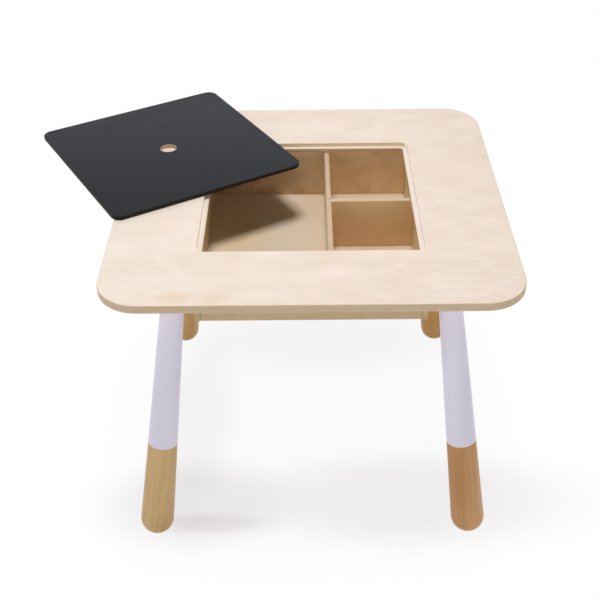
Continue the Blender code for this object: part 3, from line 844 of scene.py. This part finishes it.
def build_box():
    """The four walls, the bottom panel and the dividers."""
    plank(
        "box_side_left_board", "box_side_left", 3, Y, -X, WALL_EASE, SMALL_EASE,
        ["box_floor", *dowels("top_dowel_left", "corner_dowel_front_left", "corner_dowel_back_left")],
        tones=LEFT_WALL_PAINTED_SHADE,
    )
    plank(
        "box_side_right_board", "box_side_right", 4, Y, -X, WALL_EASE, SMALL_EASE,
        ["box_floor", "cross_divider",
         *dowels("top_dowel_right", "corner_dowel_front_right", "corner_dowel_back_right")],
        tones=RIGHT_WALL_PAINTED_LIGHT,
    )
    plank(
        "box_front_board", "box_front", 5, X, Y, WALL_EASE, SMALL_EASE,
        ["box_floor", "long_divider", *dowels("top_dowel_front", "corner_dowel_front")],
    )
    plank(
        "box_back_board", "box_back", 6, X, Y, WALL_EASE, SMALL_EASE,
        ["box_floor", "long_divider", *dowels("top_dowel_back", "corner_dowel_back")],
        BACK_KNOTS_AND_PAINTED_SHADE, BACK, BACK_PAINTED_SHADE_LEAN,
    )
    plank(
        "box_floor_panel", "box_floor", 7, Y, Z, SMALL_EASE, SMALL_EASE,
        spots=PANEL_PAINTED_LIGHT_AND_SHADE, tones=PANEL,
    )
    plank(
        "long_divider_board", "long_divider", 8, Y, -X, SMALL_EASE, DIVIDER_EASE,
        ["cross_divider"], tones=DIVIDER_PAINTED_LIGHT, edge_tones=DIVIDER_EDGE,
    )
    plank(
        "cross_divider_board", "cross_divider", 9, X, Y, SMALL_EASE, DIVIDER_EASE,
        edge_tones=PLIES,
    )


def leg_place(corner):
    """The axes of a leg, from the middle of its foot's ball, with Z up the leg."""
    turn = Matrix.Rotation(LEG_TURNS[corner] * QUARTER, 4, "Z")
    lean = Matrix.Rotation(QUARTER / 2, 4, "Z") @ Matrix.Rotation(-leg_tilt, 4, "Y")
    return Matrix.Translation(mounts["foot_" + corner] + Z * foot_height) @ turn @ lean


def build_leg(corner, seed):
    """A turned leg: a round foot cut level, bare wood up to the paint, and the paint's own small step."""
    slant = math.asin((FOOT_RADIUS - LEG_TOP_RADIUS) / leg_end)
    join_radius = FOOT_RADIUS * math.cos(slant)
    join_height = FOOT_RADIUS * math.sin(slant)
    taper = (join_radius - LEG_TOP_RADIUS) / (leg_end - join_height)
    line = PAINT_LINE - FOOT_RADIUS
    line_radius = join_radius - taper * (line - join_height)

    profile = [(0, leg_end)]
    for number in range(EASE_STEPS + 1):
        angle = QUARTER * (1 - number / EASE_STEPS)
        radius = LEG_TOP_RADIUS - LEG_EASE + LEG_EASE * math.cos(angle)
        profile.append((radius, leg_end - LEG_EASE + LEG_EASE * math.sin(angle)))
    profile.append((line_radius + PAINT_THICKNESS, line + PAINT_THICKNESS))
    profile.append((line_radius, line))
    for number in range(FOOT_STEPS):
        angle = slant - (slant + QUARTER) * number / FOOT_STEPS
        profile.append((FOOT_RADIUS * math.cos(angle), FOOT_RADIUS * math.sin(angle)))
    profile.append((0, -FOOT_RADIUS))

    place = leg_place(corner)
    mesh = turned(profile, LEG_SIDES)
    bmesh.ops.transform(mesh, matrix=place, verts=mesh.verts)
    everything = mesh.verts[:] + mesh.edges[:] + mesh.faces[:]
    cut = bmesh.ops.bisect_plane(mesh, geom=everything, plane_co=(0, 0, 0), plane_no=Z, clear_inner=True)
    rim = [part for part in cut["geom_cut"] if isinstance(part, bmesh.types.BMEdge)]
    bmesh.ops.holes_fill(mesh, edges=rim)

    foot = solid_wood(
        f"leg_wood_{corner}",
        FOOT_SEED + seed,
        place,
        FOOT_TONES[corner],
        LEG_PITHS[corner],
        FOOT_PAINTED_SHADE_LEANS.get(corner, 0.0),
    )
    inside = place.inverted()
    piece(
        f"leg_{corner}_turned",
        mesh,
        f"leg_{corner}",
        (foot, paint(f"leg_paint_{corner}", PAINT_SEED + seed)),
        lambda face: int((inside @ face.center).z > line),
    )


def cross_cut(middle, low):
    """Two crossed bars, as cutters for a screw's head."""
    bars = []
    for number, size in enumerate(((CROSS_REACH, CROSS_WIDTH / 2), (CROSS_WIDTH / 2, CROSS_REACH))):
        mesh = bmesh.new()
        bmesh.ops.create_cube(mesh, size=2)
        bmesh.ops.scale(mesh, vec=(*size, CROSS_DEPTH), verts=mesh.verts)
        bars.append(to_object(f"cut_slot_{number}", mesh, Matrix.Translation((middle.x, middle.y, low))))
    return bars


def build_screw(stands_for, look):
    """A pan-head screw with a cross recess."""
    low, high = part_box(stands_for)
    middle = (low + high) / 2
    seat = low.z + SCREW_HEAD_HEIGHT
    profile = [(0, high.z), (SCREW_RADIUS, high.z - 2 * SCREW_RADIUS), (SCREW_RADIUS, seat)]
    profile.append((SCREW_HEAD_RADIUS, seat))
    steps = 2 * EASE_STEPS
    for number in range(steps + 1):
        angle = QUARTER * number / steps
        radius = SCREW_HEAD_RADIUS / 2 * (1 + math.cos(angle))
        profile.append((radius, low.z + SCREW_HEAD_HEIGHT / 2 * (1 - math.sin(angle))))
    profile.append((0, low.z))
    place = Matrix.Translation((middle.x, middle.y, 0))
    mesh = turned(profile, SCREW_SIDES)
    cutters = cross_cut(middle, low.z)
    piece(f"{stands_for}_head", mesh, stands_for, (look,), place=place, cutters=cutters)


def build_block(corner, seed):
    """A block with eased edges, its lower face square to the leg, and sunk holes for its two screws."""
    low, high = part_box("block_" + corner)
    middle = (low + high) / 2
    side = high.x - low.x
    away = middle - table_middle
    outward = Vector((math.copysign(1, away.x), math.copysign(1, away.y), 0))
    slope = LEG_SPLAY / axis_rise
    face_middle = mounts["foot_" + corner] - outward * LEG_SPLAY * (1 - BLOCK_HEIGHT / axis_rise)

    def lower_face(x, y):
        return top_low.z - BLOCK_HEIGHT + slope * outward.dot(Vector((x, y, 0)) - face_middle)

    mesh = bmesh.new()
    rings = []
    for number in range(2 * EASE_STEPS + 2):
        upper = number > EASE_STEPS
        part = number - EASE_STEPS - 1 if upper else number
        angle = QUARTER * part / EASE_STEPS
        inset = BLOCK_EASE * (1 - (math.cos(angle) if upper else math.sin(angle)))
        rise = BLOCK_EASE * ((math.sin(angle) - 1) if upper else (1 - math.cos(angle)))
        half, radius = side / 2 - inset, BLOCK_CORNER - inset
        ring = []
        for quarter in range(4):
            corner_x = math.copysign(half - radius, math.cos(quarter * QUARTER + QUARTER / 2))
            corner_y = math.copysign(half - radius, math.sin(quarter * QUARTER + QUARTER / 2))
            for point in range(2 * EASE_STEPS + 1):
                turn = quarter * QUARTER + point * QUARTER / 2 / EASE_STEPS
                x = middle.x + corner_x + radius * math.cos(turn)
                y = middle.y + corner_y + radius * math.sin(turn)
                z = high.z + rise if upper else lower_face(x, y) + rise
                ring.append(mesh.verts.new((x, y, z)))
        rings.append(ring)
    close_rings(mesh, rings)

    cutters = []
    for number in (1, 2):
        screw_low, screw_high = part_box(f"block_screw_{corner}_{number}")
        screw = (screw_low + screw_high) / 2
        seat = screw_low.z + SCREW_HEAD_HEIGHT + SEAT_GAP
        wide, narrow = SCREW_HEAD_RADIUS + SEAT_GAP, SCREW_RADIUS + SEAT_GAP
        mouth = low.z - SCREW_HEAD_RADIUS
        profile = [(0, high.z + SCREW_RADIUS), (narrow, high.z + SCREW_RADIUS), (narrow, seat)]
        profile += [(wide, seat), (wide, mouth), (0, mouth)]
        hole = turned(profile, SCREW_SIDES)
        cutters.append(to_object(f"cut_screw_{number}", hole, Matrix.Translation((screw.x, screw.y, 0))))
    grain_level = Matrix.Translation(middle) @ Matrix.Rotation(QUARTER, 4, "Y")
    look = solid_wood(f"block_wood_{corner}", BLOCK_SEED + seed, grain_level, BLOCK_WOOD, BLOCK_PITH)
    piece(f"block_{corner}_eased", mesh, "block_" + corner, (look,), cutters=cutters)


def finish_hidden():
    """The materials of the CAD nodes that stay: dowels, hanger bolts and threaded inserts."""
    looks = {
        "dowel": solid_wood("dowel_birch", DOWEL_SEED, UNMOVED, BOX_BIRCH, DOWEL_PITH),
        "bolt": metal("bright_steel", BOLT_STEEL, BOLT_ROUGHNESS),
        "insert": metal("yellow_zinc", INSERT_ZINC, INSERT_ROUGHNESS),
    }
    for name, made in frame["nodes"].items():
        for word, look in looks.items():
            if word in name:
                made.material_slots[0].material = look


def is_seen(tree):
    """1 for the camera's rays and for what shows in a mirror or through glass, and 0 for other light."""
    path = tree.nodes.new("ShaderNodeLightPath").outputs
    seen = figure(tree, "MAXIMUM", path["Is Camera Ray"], path["Is Glossy Ray"])
    return figure(tree, "MAXIMUM", seen, path["Is Transmission Ray"])


def show(tree, kind, shader):
    """Gives a shader to a tree's output."""
    output = tree.nodes.new("ShaderNodeOutput" + kind)
    tree.links.new(shader, output.inputs["Surface"])


def build_floor():
    """A pale floor, seen as white with a faint real shadow under the table and soft painted shadows, and
    clear from below.
    """
    mesh = bmesh.new()
    bmesh.ops.create_grid(mesh, size=FLOOR_SIDE / 2)
    floor = to_object("studio_floor", mesh)
    made = bpy.data.materials.new("studio_floor")
    made.use_nodes = True
    tree = made.node_tree
    tree.nodes.clear()

    # The fourth root of x**4 + y**4, so that the shadow's share fades along rounded squares
    place = node(tree, "TexCoord", output="Object")
    away = vector(tree, "SUBTRACT", place, table_middle)
    for _ in range(2):
        away = vector(tree, "MULTIPLY", away, away)
    away = figure(tree, "POWER", vector(tree, "DOT_PRODUCT", away, X + Y, "Value"), 1 / 4)
    share = step(tree, away, SHADOW_REACH, SHADOW_END, FLOOR_SHADOW_SHARE, 0)

    # Painted shadows: soft darker places mixed into the white that the camera sees
    dark = None
    for x, y, reach_x, reach_y, part in FLOOR_PAINTED_SHADOWS:
        away = vector(tree, "SUBTRACT", place, table_middle + Vector((x, y, 0)))
        away = vector(tree, "MULTIPLY", away, (1 / reach_x, 1 / reach_y, 0))
        here = step(tree, vector(tree, "LENGTH", away, output="Value"), PAINTED_SHADOW_CORE, 1, part, 0)
        dark = figure(tree, "ADD", dark, here) if dark else here

    lit = node(tree, "BsdfDiffuse", {"Color": FLOOR_LIT})
    plain = node(tree, "Emission", {"Color": mixed(tree, dark, WHITE, FLOOR_PAINTED_SHADOW_TONE), "Strength": 1.0})
    bounce = node(tree, "BsdfDiffuse", {"Color": FLOOR_BOUNCE})
    above = blended(tree, is_seen(tree), bounce, blended(tree, share, plain, lit))
    below = node(tree, "NewGeometry", output="Backfacing")
    show(tree, "Material", blended(tree, below, above, node(tree, "BsdfTransparent")))
    floor.data.materials.append(made)


def build_light():
    """A soft lamp high over the table, and a white sky that lights most from the horizon."""
    aim = table_middle + Z * top_high.z
    direction = Vector(LAMP_DIRECTION).normalized()
    data = bpy.data.lights.new("soft_lamp", "AREA")
    data.size = LAMP_SIDE
    data.energy = LAMP_POWER
    lamp = new_object("soft_lamp", data)
    lamp.location = aim + direction * LAMP_DISTANCE
    lamp.rotation_euler = direction.to_track_quat("Z", "Y").to_euler()

    world = bpy.data.worlds.new("studio")
    bpy.context.scene.world = world
    world.use_nodes = True
    tree = world.node_tree
    tree.nodes.clear()
    towards = split(tree, node(tree, "TexCoord", output="Generated"))
    low = figure(tree, "SUBTRACT", 1.0, figure(tree, "ABSOLUTE", towards["Z"]))
    level = figure(tree, "MULTIPLY", figure(tree, "POWER", low, SKY_FALL), SKY_LEVEL)
    side = figure(tree, "SUBTRACT", 1.0, figure(tree, "MULTIPLY", towards["X"], SKY_TILT))
    sky = node(tree, "Background", {"Color": WHITE, "Strength": figure(tree, "MULTIPLY", level, side)})
    backdrop = node(tree, "Background", {"Color": WHITE, "Strength": 1.0})
    show(tree, "World", blended(tree, is_seen(tree), sky, backdrop))


def build_camera():
    """The photograph's view."""
    data = bpy.data.cameras.new("camera")
    data.lens = data.sensor_width * FOCAL_PIXELS / IMAGE_SIDE
    camera = new_object("camera", data)
    turn = Matrix.Rotation(CAMERA_YAW, 4, "Z") @ Matrix.Rotation(QUARTER - CAMERA_PITCH, 4, "X")
    turn = turn @ Matrix.Rotation(CAMERA_ROLL, 4, "Z")
    camera.matrix_world = Matrix.Translation(table_middle + Vector(CAMERA_PLACE)) @ turn
    bpy.context.scene.camera = camera
    bpy.context.scene.view_settings.view_transform = "Standard"


build_camera()
build_light()
build_floor()
build_tabletop()
build_lid()
build_box()
for number, corner in enumerate(LEG_TURNS):
    build_leg(corner, number)
    build_block(corner, number)
screw_steel = metal("screw_steel", SCREW_STEEL, SCREW_ROUGHNESS)
for name in sorted(frame["nodes"]):
    if name.startswith("block_screw"):
        build_screw(name, screw_steel)
finish_hidden()
